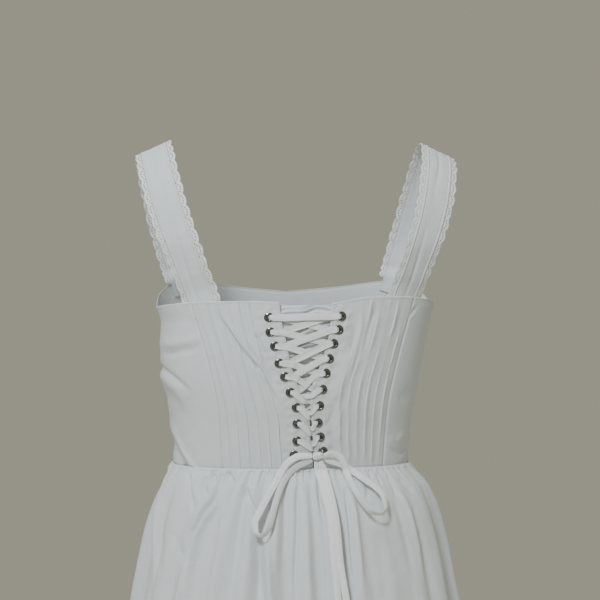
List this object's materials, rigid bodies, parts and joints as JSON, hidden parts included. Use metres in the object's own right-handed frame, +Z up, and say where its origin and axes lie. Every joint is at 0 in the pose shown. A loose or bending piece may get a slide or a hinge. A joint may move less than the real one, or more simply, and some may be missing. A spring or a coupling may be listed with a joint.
{
  "type": "babydoll dress",
  "caption": "Babydoll dress with a fitted pintucked bodice laced with ribbon up the back, a gathered skirt and lace-edged straps.",
  "frame": {"origin": "midway between the undersides of the two straps on top of the shoulders, where the dress is held", "axes": "+Z up, -Y to the front of the dress, +X to the wearer's left"},
  "size_m": [0.4601, 0.3765, 0.7734],
  "materials": {
    "white_cotton": "matte plain-woven white cotton",
    "cotton_lace": "matte white cotton lace",
    "ribbon_tape": "soft-sheen white ribbon",
    "nickel": "bright nickel-plated metal"
  },
  "bodies": {
    "root": {"bodice_front": "white_cotton", "side_back_left": "white_cotton", "side_back_right": "white_cotton", "back_panel_left": "white_cotton", "back_panel_right": "white_cotton", "modesty_panel": "white_cotton", "skirt_back": "white_cotton", "skirt_front": "white_cotton", "strap_left": "white_cotton", "strap_right": "white_cotton", "strap_lace_left_inner": "cotton_lace", "strap_lace_left_outer": "cotton_lace", "strap_lace_right_inner": "cotton_lace", "strap_lace_right_outer": "cotton_lace", "lacing_ribbon": "ribbon_tape", "bow_knot": "ribbon_tape", "bow_loop_left": "ribbon_tape", "bow_loop_right": "ribbon_tape", "bow_tail_left": "ribbon_tape", "bow_tail_right": "ribbon_tape", "eyelet_left_01": "nickel", "eyelet_left_02": "nickel", "eyelet_left_03": "nickel", "eyelet_left_04": "nickel", "eyelet_left_05": "nickel", "eyelet_left_06": "nickel", "eyelet_left_07": "nickel", "eyelet_left_08": "nickel", "eyelet_left_09": "nickel", "eyelet_left_10": "nickel", "eyelet_right_01": "nickel", "eyelet_right_02": "nickel", "eyelet_right_03": "nickel", "eyelet_right_04": "nickel", "eyelet_right_05": "nickel", "eyelet_right_06": "nickel", "eyelet_right_07": "nickel", "eyelet_right_08": "nickel", "eyelet_right_09": "nickel", "eyelet_right_10": "nickel"}
  },
  "joints": []
}
